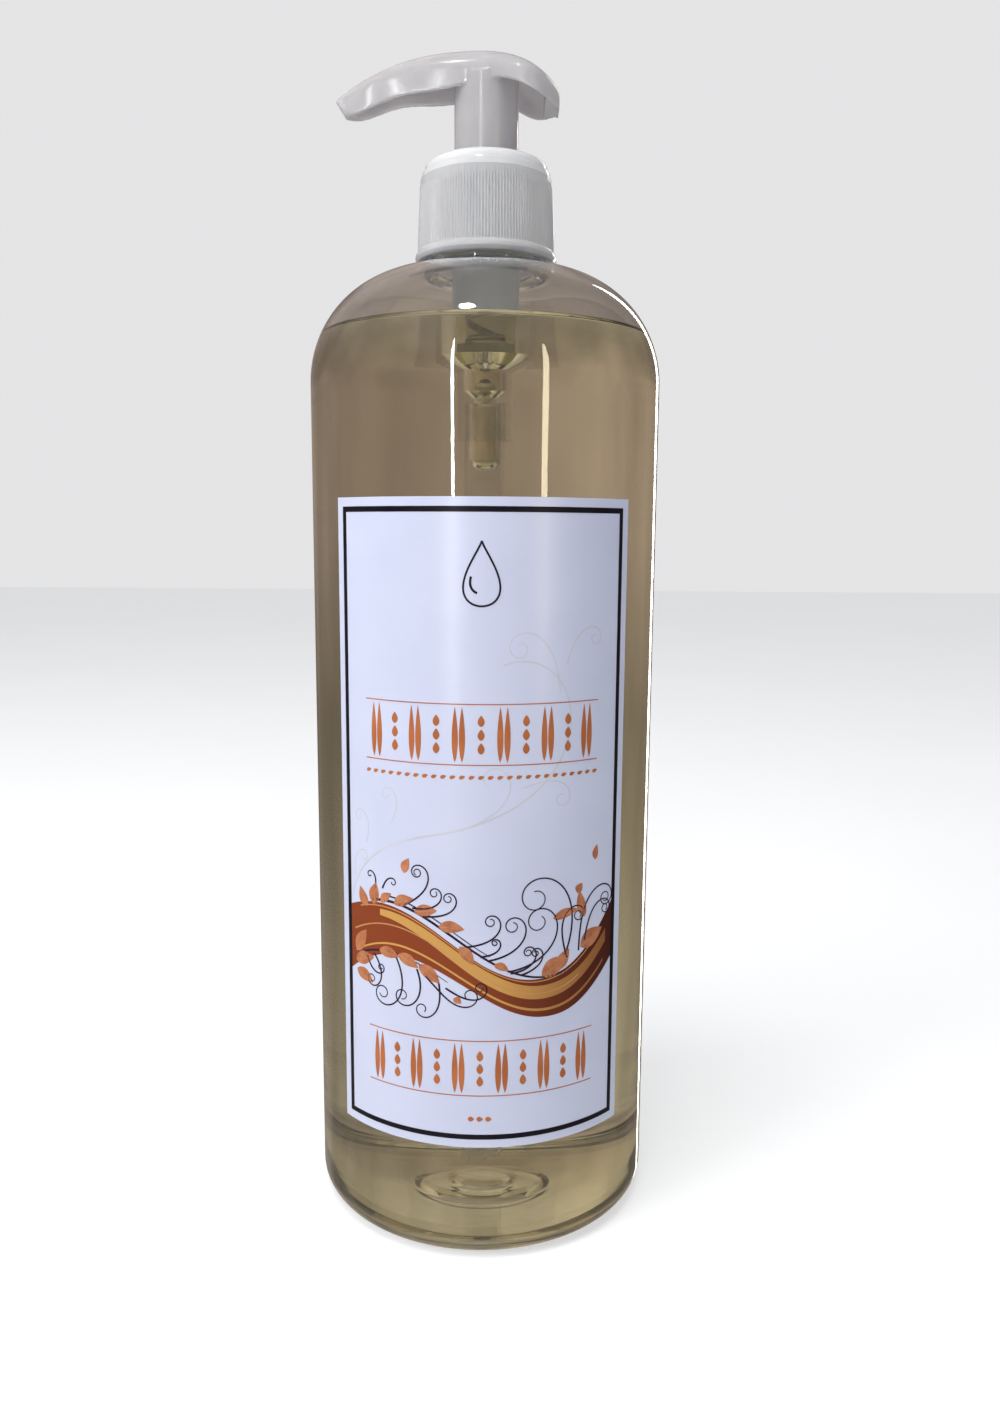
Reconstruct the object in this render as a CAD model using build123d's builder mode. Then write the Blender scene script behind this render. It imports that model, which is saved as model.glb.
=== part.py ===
"""Pump oil bottle: a one-litre PET bottle of massage oil with a 28/410 saddle lotion pump.

Frame: origin at the centre of the base, +Z up the bottle's axis, spout towards -X, label towards -Y.
All sizes are millimetres.
"""
import math
import os

from build123d import *

os.makedirs("parts", exist_ok=True)

# ---------------------------------------------------------------- driving dimensions

# Bottle body
body_radius = 40.0
wall = 0.7
base_corner_radius = 6.0
shoulder_height = 194.0          # the straight wall ends here
shoulder_radius = 25.0

# 28/410 neck finish
neck_root_radius = 12.6
neck_bore_radius = 10.8
neck_top = 238.0
thread_crest_radius = 13.7
thread_pitch = 25.4 / 6
thread_turns = 1.5
thread_start = 228.6             # centre of the ridge's lower end

# Label
label_low = 27.5
label_high = 168.0
label_half_angle = 50.6
label_thickness = 0.12

# Oil
fill_height = 203.3
oil_gap = 0.1                    # oil to bottle wall
moving_gap = 0.3                 # oil to the pump that is lifted out of it
air_column_bottom = 174.5        # oil level inside the dip tube of an unprimed pump

# Closure
closure_low = 221.2
closure_top = 243.4
closure_bore_radius = 13.95
closure_thread_crest = 12.95
closure_thread_turns = 1.0
closure_opening_radius = 7.6
rib_count = 120
rib_depth = 0.25
rib_low = 223.4
rib_high = 237.0
rib_radius_low = 15.5
rib_radius_high = 15.0

# Pump engine, a 2 ml cylinder
gasket_thickness = 1.0
flange_thickness = 1.2
flange_radius = 13.4
cup_outer_radius = 10.5
cup_inner_radius = 9.55
cup_floor = 223.2
cylinder_outer_radius = 7.7
cylinder_bore_radius = 6.75
cylinder_low = 197.8             # the taper to the foot starts here
foot_top = 195.3
foot_low = 181.0
foot_outer_radius = 4.35
ball_chamber_radius = 3.3
throat_radius = 1.7
throat_low = 189.0
throat_high = 190.0
vent_radius = 0.5
vent_height = 219.0

# Dip tube
tube_outer_radius = 3.25
tube_bore_radius = 2.45
tube_low = 9.0

# Valve ball and its cage
ball_radius = 2.5
ball_height = 191.95
ball_lift = 1.5
cage_ring_low = 198.6
cage_ring_thickness = 1.1

# Lock collar
guide_bore_radius = 3.1
guide_top = 226.2
chimney_inner_radius = 4.6
chimney_outer_radius = 5.6
chimney_top = 237.5
collar_wall = 1.0
collar_floor_thickness = 1.2

# Plunger
stem_radius = 3.0
stem_bore_radius = 1.7
stem_low = 219.6
stem_top = 252.0
running_clearance = 0.05
piston_low = 216.2
piston_top = 222.2
piston_web_thickness = 1.0
poppet_flange_radius = 5.0
poppet_flange_thickness = 1.0
poppet_top = 226.0
spring_wire_radius = 0.35
spring_mean_radius = 4.35
spring_turns = 6

# Head
skirt_radius = 7.2
skirt_wall = 1.0
skirt_low = 239.6
skirt_top = 260.4
socket_outer_radius = 4.2
socket_low = 241.0
shell_thickness = 1.1
roof_thickness = 2.3
spout_arc_radius = 64.0
spout_height = 262.6             # height of the spout channel over the stem
spout_tube_radius = 2.0
spout_channel_radius = 1.25
spout_tip_x = -32.4
tip_angle = 32.6                 # the outlet faces this far below the horizontal


# ---------------------------------------------------------------- shared shapes

def helical_ridge(root_radius, crest_radius, start_height, turns):
    """One screw-thread ridge: a trapezoid swept up a right-hand helix from the +X side."""
    root_half = 1.0
    crest_half = 0.55
    with BuildPart() as ridge:
        with BuildLine() as path:
            Helix(thread_pitch, turns * thread_pitch, root_radius, center=(0, 0, start_height))
        with BuildSketch(Plane.XZ):
            with BuildLine():
                Polyline(
                    (root_radius, start_height - root_half),
                    (crest_radius, start_height - crest_half),
                    (crest_radius, start_height + crest_half),
                    (root_radius, start_height + root_half),
                    close=True,
                )
            make_face()
        sweep(path=path.wire(), is_frenet=True)
    return ridge.part


def ribbed_outline(radius):
    """Corner points of the closure's ribbed outline, one crest and one groove for each rib."""
    points = []
    for step in range(2 * rib_count):
        angle = math.pi * step / rib_count
        reach = radius if step % 2 == 0 else radius - rib_depth
        points.append((reach * math.cos(angle), reach * math.sin(angle)))
    return points


# ---------------------------------------------------------------- bottle

thread_root_inside = 0.2         # how far a ridge's root is sunk in its wall
neck_thread = helical_ridge(
    neck_root_radius - thread_root_inside, thread_crest_radius, thread_start, thread_turns
)

shoulder_centre = body_radius - shoulder_radius
inner_radius = body_radius - wall
base_inner_radius = 7.0

with BuildPart() as bottle:
    with BuildSketch(Plane.XZ):
        with BuildLine():
            # Underside of the base: gate nub, two steps of the push-up, standing ring
            Polyline(
                (0, 4.6), (4.4, 4.6), (5.2, 3.6), (9.2, 3.2), (10.6, 1.9), (29.0, 0.9), (32.0, 0),
                (body_radius - base_corner_radius, 0),
            )
            CenterArc((body_radius - base_corner_radius, base_corner_radius), base_corner_radius, 270, 90)
            Line((body_radius, base_corner_radius), (body_radius, shoulder_height))
            CenterArc((shoulder_centre, shoulder_height), shoulder_radius, 0, 90)
            # Outside of the neck with its transfer bead
            Polyline(
                (shoulder_centre, shoulder_height + shoulder_radius),
                (13.5, 219.1), (12.9, 219.6), (12.9, 219.8), (14.2, 220.0), (14.2, 220.6),
                (neck_root_radius, 220.9),
                (neck_root_radius, neck_top - 0.4),
                (neck_root_radius - 0.4, neck_top),
                (neck_bore_radius, neck_top),
                (neck_bore_radius, 219.9),
                (12.4, shoulder_height + shoulder_radius - wall),
                (shoulder_centre, shoulder_height + shoulder_radius - wall),
            )
            CenterArc((shoulder_centre, shoulder_height), shoulder_radius - wall, 90, -90)
            Line((inner_radius, shoulder_height), (inner_radius, 9.2))
            CenterArc((inner_radius - base_inner_radius, 9.2), base_inner_radius, 0, -90)
            # Inside of the base
            Polyline(
                (inner_radius - base_inner_radius, 2.2), (29.0, 2.3), (10.8, 3.4), (9.4, 4.8),
                (5.4, 5.2), (4.4, 6.4), (0, 6.6), (0, 4.6),
            )
        make_face()
    revolve(axis=Axis.Z)
    add(neck_thread)
bottle.part.label = "bottle"
export_step(bottle.part, "parts/bottle.step")

# ---------------------------------------------------------------- label

label_edge = math.radians(270 - label_half_angle)
label_edge_plane = Plane(
    origin=(0, 0, 0),
    x_dir=(math.cos(label_edge), math.sin(label_edge), 0),
    z_dir=(math.sin(label_edge), -math.cos(label_edge), 0),
)

with BuildPart() as front_label:
    with BuildSketch(label_edge_plane):
        with Locations((body_radius + label_thickness / 2, (label_low + label_high) / 2)):
            Rectangle(label_thickness, label_high - label_low)
    revolve(axis=Axis.Z, revolution_arc=2 * label_half_angle)
front_label.part.label = "front_label"
export_step(front_label.part, "parts/front_label.step")

# ---------------------------------------------------------------- oil

oil_radius = inner_radius - oil_gap
oil_shoulder_radius = shoulder_radius - wall - oil_gap
fill_angle = math.degrees(math.asin((fill_height - shoulder_height) / oil_shoulder_radius))
fill_radius = shoulder_centre + oil_shoulder_radius * math.cos(math.radians(fill_angle))
oil_base_height = 9.2 + oil_gap
around_housing = cylinder_outer_radius + moving_gap
around_foot = foot_outer_radius + moving_gap
around_tube = tube_outer_radius + moving_gap
inside_tube = tube_bore_radius - moving_gap

with BuildPart() as massage_oil:
    with BuildSketch(Plane.XZ):
        with BuildLine():
            Polyline(
                (oil_radius - base_inner_radius, oil_base_height - base_inner_radius),
                (29.0, 2.4), (10.9, 3.6), (9.5, 5.0), (5.5, 5.4), (4.5, 6.5), (0, 6.7),
                # Column inside the dip tube
                (0, air_column_bottom),
                (inside_tube, air_column_bottom),
                (inside_tube, tube_low - moving_gap),
                # Room for the tube, the foot and the cylinder
                (around_tube, tube_low - moving_gap),
                (around_tube, foot_low - moving_gap),
                (around_foot, foot_low - moving_gap),
                (around_foot, foot_top - moving_gap),
                (around_housing, cylinder_low - moving_gap),
                (around_housing, fill_height),
                (fill_radius, fill_height),
            )
            CenterArc((shoulder_centre, shoulder_height), oil_shoulder_radius, fill_angle, -fill_angle)
            Line((oil_radius, shoulder_height), (oil_radius, oil_base_height))
            CenterArc((oil_radius - base_inner_radius, oil_base_height), base_inner_radius, 0, -90)
        make_face()
    revolve(axis=Axis.Z)
massage_oil.part.label = "massage_oil"
export_step(massage_oil.part, "parts/massage_oil.step")

# ---------------------------------------------------------------- closure

flange_low = neck_top + gasket_thickness
flange_top = flange_low + flange_thickness
closure_thread = helical_ridge(
    closure_bore_radius + thread_root_inside,
    closure_thread_crest,
    thread_start - thread_pitch / 2,
    closure_thread_turns,
)

with BuildPart() as closure:
    with BuildSketch(Plane.XZ):
        with BuildLine():
            # Flared bead, ribbed wall's core, shoulder step
            Polyline(
                (closure_bore_radius, closure_low), (15.6, closure_low), (16.1, 222.0), (15.9, 222.8),
                (15.4, 223.6), (rib_radius_high - rib_depth, rib_high), (15.0, rib_high),
                (14.4, 240.2), (14.1, 240.4),
            )
            Spline((14.1, 240.4), (12.6, 242.0), (10.2, 242.9), (closure_opening_radius, closure_top))
            Polyline(
                (closure_opening_radius, closure_top),
                (closure_opening_radius, flange_top),
                (closure_bore_radius, flange_top),
                (closure_bore_radius, closure_low),
            )
        make_face()
    revolve(axis=Axis.Z)
    with BuildSketch(Plane.XY.offset(rib_low)):
        Polygon(*ribbed_outline(rib_radius_low), align=None)
        Circle(closure_bore_radius, mode=Mode.SUBTRACT)
    with BuildSketch(Plane.XY.offset(rib_high)):
        Polygon(*ribbed_outline(rib_radius_high), align=None)
        Circle(closure_bore_radius, mode=Mode.SUBTRACT)
    loft(ruled=True)
    add(closure_thread)
closure.part.label = "closure"
export_step(closure.part, "parts/closure.step")

# ---------------------------------------------------------------- pump engine

with BuildPart() as neck_gasket:
    with BuildSketch(Plane.XY.offset(neck_top)):
        Circle(neck_root_radius + 0.6)
        Circle(cup_outer_radius, mode=Mode.SUBTRACT)
    extrude(amount=gasket_thickness)
neck_gasket.part.label = "neck_gasket"
export_step(neck_gasket.part, "parts/neck_gasket.step")

with BuildPart() as pump_housing:
    with BuildSketch(Plane.XZ):
        with BuildLine():
            Polyline(
                # Outside, from the tube socket up to the flange
                (tube_outer_radius, foot_low), (foot_outer_radius, foot_low),
                (foot_outer_radius, foot_top), (cylinder_outer_radius, cylinder_low),
                (cylinder_outer_radius, cup_floor - 1.4), (cup_outer_radius, cup_floor),
                (cup_outer_radius, flange_low), (flange_radius, flange_low),
                (flange_radius, flange_top), (cup_inner_radius, flange_top),
                # Inside, back down through the cup, the cylinder and the valve
                (cup_inner_radius, cup_floor), (cylinder_bore_radius, cup_floor),
                (cylinder_bore_radius, cage_ring_low), (ball_chamber_radius, 196.2),
                (ball_chamber_radius, throat_high + ball_chamber_radius - throat_radius),
                (throat_radius, throat_high), (throat_radius, throat_low),
                (tube_outer_radius, throat_low),
                close=True,
            )
        make_face()
    revolve(axis=Axis.Z)
    with BuildSketch(Plane.XZ):
        with Locations((0, vent_height)):
            Circle(vent_radius)
    extrude(amount=cylinder_outer_radius + 1, mode=Mode.SUBTRACT)
pump_housing.part.label = "pump_housing"
export_step(pump_housing.part, "parts/pump_housing.step")

with BuildPart() as lock_collar:
    with BuildSketch(Plane.XZ):
        with BuildLine():
            Polyline(
                (guide_bore_radius, cup_floor), (cup_inner_radius, cup_floor),
                (cup_inner_radius, flange_top - 0.1),
                (cup_inner_radius - collar_wall, flange_top - 0.1),
                (cup_inner_radius - collar_wall, cup_floor + collar_floor_thickness),
                (chimney_outer_radius, cup_floor + collar_floor_thickness),
                (chimney_outer_radius, chimney_top), (chimney_inner_radius, chimney_top),
                (chimney_inner_radius, guide_top), (guide_bore_radius, guide_top),
                close=True,
            )
        make_face()
    revolve(axis=Axis.Z)
lock_collar.part.label = "lock_collar"
export_step(lock_collar.part, "parts/lock_collar.step")

with BuildPart() as dip_tube:
    with BuildSketch(Plane.XY.offset(tube_low)):
        Circle(tube_outer_radius)
        Circle(tube_bore_radius, mode=Mode.SUBTRACT)
    extrude(amount=throat_low - tube_low)
    # The lower end is cut at a slant, so that it can't seal itself against the base
    with BuildSketch(Plane.XZ):
        Polygon(
            (-tube_outer_radius, tube_low), (tube_outer_radius, tube_low),
            (tube_outer_radius, tube_low + 3.5),
            align=None,
        )
    extrude(amount=tube_outer_radius, both=True, mode=Mode.SUBTRACT)
dip_tube.part.label = "dip_tube"
export_step(dip_tube.part, "parts/dip_tube.step")

cage_ring_top = cage_ring_low + cage_ring_thickness
cage_hub_low = ball_height + ball_radius + ball_lift + 0.15
cage_hub_radius = 1.2
cage_ring_inner_radius = 3.7

with BuildPart() as ball_cage:
    with BuildSketch(Plane.XY.offset(cage_ring_low)):
        Circle(cylinder_bore_radius - 0.1)
        Circle(cage_ring_inner_radius, mode=Mode.SUBTRACT)
        with PolarLocations(0, 3):
            with Locations((cage_ring_inner_radius / 2, 0)):
                Rectangle(cage_ring_inner_radius + 0.6, 1.0)
    extrude(amount=cage_ring_thickness)
    with BuildSketch(Plane.XY.offset(cage_hub_low)):
        Circle(cage_hub_radius)
    extrude(amount=cage_ring_top - cage_hub_low)
ball_cage.part.label = "ball_cage"
export_step(ball_cage.part, "parts/ball_cage.step")

with BuildPart() as check_ball:
    with BuildSketch(Plane.XZ):
        with BuildLine():
            CenterArc((0, ball_height), ball_radius, -90, 180)
            Line((0, ball_height + ball_radius), (0, ball_height - ball_radius))
        make_face()
    revolve(axis=Axis.Z)
check_ball.part.label = "check_ball"
export_step(check_ball.part, "parts/check_ball.step")

# ---------------------------------------------------------------- plunger

poppet_flange_top = stem_low - running_clearance
poppet_flange_low = poppet_flange_top - poppet_flange_thickness
spring_low = cage_ring_top + spring_wire_radius
spring_high = poppet_flange_low - spring_wire_radius

with BuildPart() as return_spring:
    with BuildLine() as spring_path:
        Helix(
            (spring_high - spring_low) / spring_turns,
            spring_high - spring_low,
            spring_mean_radius,
            center=(0, 0, spring_low),
        )
    with BuildSketch(Plane.XZ):
        with Locations((spring_mean_radius, spring_low)):
            Circle(spring_wire_radius)
    sweep(path=spring_path.wire(), is_frenet=True)
return_spring.part.label = "return_spring"
export_step(return_spring.part, "parts/return_spring.step")

with BuildPart() as piston_poppet:
    with BuildSketch(Plane.XY.offset(poppet_flange_low)):
        Circle(poppet_flange_radius)
    extrude(amount=poppet_flange_thickness)
    with BuildSketch(Plane.XY.offset(poppet_flange_top)):
        Circle(stem_bore_radius - running_clearance)
        # Three grooves carry the oil up past the pin
        with PolarLocations(stem_bore_radius, 3):
            Circle(0.8, mode=Mode.SUBTRACT)
    extrude(amount=poppet_top - poppet_flange_top)
piston_poppet.part.label = "piston_poppet"
export_step(piston_poppet.part, "parts/piston_poppet.step")

piston_lip_radius = cylinder_bore_radius - running_clearance
piston_waist_radius = piston_lip_radius - 0.4
piston_skirt_inner = 5.6
piston_sleeve_radius = 4.1

with BuildPart() as piston:
    with BuildSketch(Plane.XZ):
        with BuildLine():
            Polyline(
                (stem_radius + running_clearance, stem_low),
                (piston_skirt_inner, stem_low),
                (piston_skirt_inner, piston_low + 0.6),
                (piston_lip_radius - 0.3, piston_low),
                (piston_lip_radius, piston_low),
                (piston_lip_radius, piston_low + 0.4),
                (piston_waist_radius, piston_low + 1.4),
                (piston_waist_radius, piston_top - 1.4),
                (piston_lip_radius, piston_top - 0.4),
                (piston_lip_radius, piston_top),
                (piston_lip_radius - 0.3, piston_top),
                (piston_skirt_inner, stem_low + piston_web_thickness),
                (piston_sleeve_radius, stem_low + piston_web_thickness),
                (piston_sleeve_radius, piston_top),
                (stem_radius + running_clearance, piston_top),
                close=True,
            )
        make_face()
    revolve(axis=Axis.Z)
piston.part.label = "piston"
export_step(piston.part, "parts/piston.step")

port_radius = 0.7

with BuildPart() as stem:
    with BuildSketch(Plane.XY.offset(stem_low)):
        Circle(stem_radius)
        Circle(stem_bore_radius, mode=Mode.SUBTRACT)
    extrude(amount=stem_top - stem_low)
    # Cross port above the piston's seat
    with BuildSketch(Plane.XZ):
        with Locations((0, stem_low + port_radius + 0.3)):
            Circle(port_radius)
    extrude(amount=stem_radius + 1, both=True, mode=Mode.SUBTRACT)
stem.part.label = "stem"
export_step(stem.part, "parts/stem.step")

# ---------------------------------------------------------------- head

# Stations along the saddle: place along X, half-width, lower edge, ridge, height of the crown
saddle_stations = [
    (-36.0, 2.2, 249.2, 252.8, 1.9),
    (-29.0, 2.8, 252.6, 259.1, 2.6),
    (-23.0, 3.5, 254.6, 262.2, 3.4),
    (-15.0, 4.5, 256.4, 264.8, 4.4),
    (-7.0, 5.6, 257.3, 265.9, 5.1),
    (1.0, 7.1, 258.6, 265.9, 5.2),
    (8.0, 9.3, 256.7, 264.0, 4.8),
    (13.0, 7.2, 254.6, 261.2, 4.0),
    (16.2, 3.2, 253.4, 257.8, 2.6),
]


def saddle(inset, roof, drop, first, last):
    """Loft through some of the saddle's stations, inset at its sides and roof, with its underside dropped."""
    with BuildPart() as body:
        for place, half_width, edge, ridge, crown in saddle_stations[first:last]:
            width = half_width - inset
            spring_line = ridge - roof - crown + inset
            with BuildSketch(Plane.YZ.offset(place)):
                with BuildLine():
                    Polyline(
                        (-width, spring_line), (-width, edge - drop),
                        (width, edge - drop), (width, spring_line),
                    )
                    EllipticalCenterArc((0, spring_line), width, crown - inset, 0, arc_size=180)
                make_face()
        loft()
    return body.part


saddle_outside = saddle(0, 0, 0, 0, 9)
saddle_inside = saddle(shell_thickness, roof_thickness, 4, 1, 8)
spout_centre = (0, spout_height - spout_arc_radius)
spout_sweep = math.degrees(math.asin((36 - 1) / spout_arc_radius))


def spout_bar(radius, start_angle):
    """Round bar along the spout's arc, from near the stem to beyond the tip."""
    with BuildPart() as bar:
        with BuildLine(Plane.XZ) as path:
            CenterArc(spout_centre, spout_arc_radius, 90 + start_angle, spout_sweep - start_angle)
        with BuildSketch(Plane(origin=path.line @ 0, z_dir=path.line % 0)):
            Circle(radius)
        sweep(path=path.wire())
    return bar.part


spout_tube = spout_bar(spout_tube_radius, 2)
spout_channel = spout_bar(spout_channel_radius, 0)
tip_drop = spout_arc_radius - math.sqrt(spout_arc_radius**2 - spout_tip_x**2)
tip_plane = Plane(
    origin=(spout_tip_x, 0, spout_height - tip_drop),
    z_dir=(-math.cos(math.radians(tip_angle)), 0, -math.sin(math.radians(tip_angle))),
)

with BuildPart() as actuator_head:
    add(saddle_outside)
    add(saddle_inside, mode=Mode.SUBTRACT)
    add(spout_tube)
    with BuildSketch(Plane.XY.offset(skirt_low)):
        Circle(skirt_radius)
        Circle(skirt_radius - skirt_wall, mode=Mode.SUBTRACT)
    extrude(amount=skirt_top - skirt_low)
    with BuildSketch(Plane.XY.offset(socket_low)):
        Circle(socket_outer_radius)
        Circle(stem_radius, mode=Mode.SUBTRACT)
    extrude(amount=spout_height + spout_channel_radius - socket_low)
    with BuildSketch(Plane.XY.offset(socket_low)):
        Circle(stem_radius)
    extrude(amount=spout_height + spout_channel_radius - 0.6 - socket_low, mode=Mode.SUBTRACT)
    add(spout_channel, mode=Mode.SUBTRACT)
    split(bisect_by=tip_plane, keep=Keep.BOTTOM)
actuator_head.part.label = "actuator_head"
export_step(actuator_head.part, "parts/actuator_head.step")
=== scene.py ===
"""Looks of the pump oil bottle: clear PET, pale oil, printed label and natural polypropylene pump.

Lengths named in millimetres are turned into metres by MM. The frame's own boxes give the driving sizes.
"""

import math

import bpy
from mathutils import Matrix, Vector


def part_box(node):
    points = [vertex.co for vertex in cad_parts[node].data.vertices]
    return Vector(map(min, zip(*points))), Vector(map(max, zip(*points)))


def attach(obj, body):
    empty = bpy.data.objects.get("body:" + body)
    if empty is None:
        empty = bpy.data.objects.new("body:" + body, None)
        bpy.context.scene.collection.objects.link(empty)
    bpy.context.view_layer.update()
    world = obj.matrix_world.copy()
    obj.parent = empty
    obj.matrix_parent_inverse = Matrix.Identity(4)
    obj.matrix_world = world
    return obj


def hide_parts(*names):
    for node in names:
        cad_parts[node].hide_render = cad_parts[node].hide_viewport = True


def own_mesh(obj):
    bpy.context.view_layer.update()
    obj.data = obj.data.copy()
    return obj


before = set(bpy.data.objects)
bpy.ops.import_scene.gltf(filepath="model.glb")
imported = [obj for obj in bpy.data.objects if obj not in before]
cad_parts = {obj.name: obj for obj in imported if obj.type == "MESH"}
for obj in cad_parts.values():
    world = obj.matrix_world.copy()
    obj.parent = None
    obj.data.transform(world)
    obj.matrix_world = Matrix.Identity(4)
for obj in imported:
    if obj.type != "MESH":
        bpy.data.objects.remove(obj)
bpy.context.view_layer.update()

MM = 0.001
TAU = 2 * math.pi

# ---------------------------------------------------------------- sizes from the frame, in millimetres

body_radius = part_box("bottle")[1].x / MM
neck_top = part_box("bottle")[1].z / MM
fill_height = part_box("massage_oil")[1].z / MM
label_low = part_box("front_label")[0].z / MM
label_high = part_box("front_label")[1].z / MM
label_half_angle = math.asin(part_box("front_label")[1].x / MM / (body_radius + 0.12))
cylinder_radius = 7.7
cylinder_bore = 6.75
tube_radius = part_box("dip_tube")[1].x / MM
tube_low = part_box("dip_tube")[0].z / MM
tube_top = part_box("dip_tube")[1].z / MM
tube_bore = 2.45

wall = 0.7
shoulder_height = 194.0
shoulder_radius = 25.0
neck_root = 12.6
neck_bore = 10.8
thread_pitch = 25.4 / 6
thread_start = 228.6
air_column_bottom = 174.5


# ---------------------------------------------------------------- mesh helpers

def new_object(name, vertices, faces, body, sharp_angle=35):
    """A mesh object in metres from millimetre vertices, riding on a CAD body."""
    mesh = bpy.data.meshes.new(name)
    mesh.from_pydata([[c * MM for c in v] for v in vertices], [], faces)
    mesh.validate()
    mesh.update()
    for polygon in mesh.polygons:
        polygon.use_smooth = True
    mesh.set_sharp_from_angle(angle=math.radians(sharp_angle))
    piece = bpy.data.objects.new(name, mesh)
    bpy.context.scene.collection.objects.link(piece)
    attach(piece, body)
    return piece


def rounded(corners, steps=6):
    """An outline from corners (r, z, fillet radius): each corner with a radius becomes an arc."""
    outline = []
    for i, (r, z, fillet) in enumerate(corners):
        here = Vector((r, z))
        if not fillet or i in (0, len(corners) - 1):
            outline.append((r, z))
            continue
        back = Vector(corners[i - 1][:2]) - here
        on = Vector(corners[i + 1][:2]) - here
        half_turn = back.angle(on) / 2
        reach = min(fillet / math.tan(half_turn), back.length * 0.49, on.length * 0.49)
        radius = reach * math.tan(half_turn)
        start = here + back.normalized() * reach
        end = here + on.normalized() * reach
        middle = (back.normalized() + on.normalized()).normalized()
        centre = here + middle * (radius / math.sin(half_turn))
        a0 = math.atan2(start.y - centre.y, start.x - centre.x)
        a1 = math.atan2(end.y - centre.y, end.x - centre.x)
        turn = (a1 - a0 + math.pi) % TAU - math.pi
        for k in range(steps + 1):
            a = a0 + turn * k / steps
            outline.append((centre.x + radius * math.cos(a), centre.y + radius * math.sin(a)))
    return outline


def arc(centre_r, centre_z, radius, start, end, steps=16):
    """Points of an arc in the (r, z) plane, angles in degrees from the outward direction."""
    points = []
    for k in range(steps + 1):
        a = math.radians(start + (end - start) * k / steps)
        points.append((centre_r + radius * math.cos(a), centre_z + radius * math.sin(a)))
    return points


def stretch(start, end, spacing):
    """Evenly spaced points of a straight run, without its last point."""
    length = math.dist(start, end)
    count = max(1, round(length / spacing))
    return [
        (start[0] + (end[0] - start[0]) * k / count, start[1] + (end[1] - start[1]) * k / count)
        for k in range(count)
    ]


def lathe(name, outlines, body, segments=192, relief=None, sharp_angle=35):
    """Turned solid: each closed outline of (r, z) points goes round +Z, outside in clockwise order.

    relief(angle, r, z) may move a point in or out, for ribs and threads."""
    vertices, faces = [], []
    for outline in outlines:
        rings = []
        for r, z in outline:
            if r < 1e-6:
                rings.append([len(vertices)])
                vertices.append((0, 0, z))
                continue
            first = len(vertices)
            for s in range(segments):
                angle = TAU * s / segments
                radius = r if relief is None else relief(angle, r, z)
                vertices.append((radius * math.cos(angle), radius * math.sin(angle), z))
            rings.append(list(range(first, first + segments)))
        count = len(rings)
        for i in range(count):
            low, high = rings[i], rings[(i + 1) % count]
            if len(low) == 1 and len(high) == 1:
                continue
            for s in range(segments):
                t = (s + 1) % segments
                if len(low) == 1:
                    faces.append((low[0], high[t], high[s]))
                elif len(high) == 1:
                    faces.append((low[s], low[t], high[0]))
                else:
                    faces.append((low[s], low[t], high[t], high[s]))
    return new_object(name, vertices, faces, body, sharp_angle)


def ridge_height(angle, z, start, turns, half_width):
    """How much of a right-hand thread ridge stands at this angle and height, from 0 to 1."""
    best = 0.0
    fade = 0.35
    for turn in range(math.ceil(turns) + 1):
        total = angle + TAU * turn
        if total > TAU * turns:
            continue
        centre = start + thread_pitch * total / TAU
        off = abs(z - centre) / half_width
        height = min(1.0, max(0.0, (1.0 - off) * 2.2))
        ends = min(1.0, total / fade, (TAU * turns - total) / fade)
        best = max(best, height * ends)
    return best


# ---------------------------------------------------------------- materials

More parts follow.
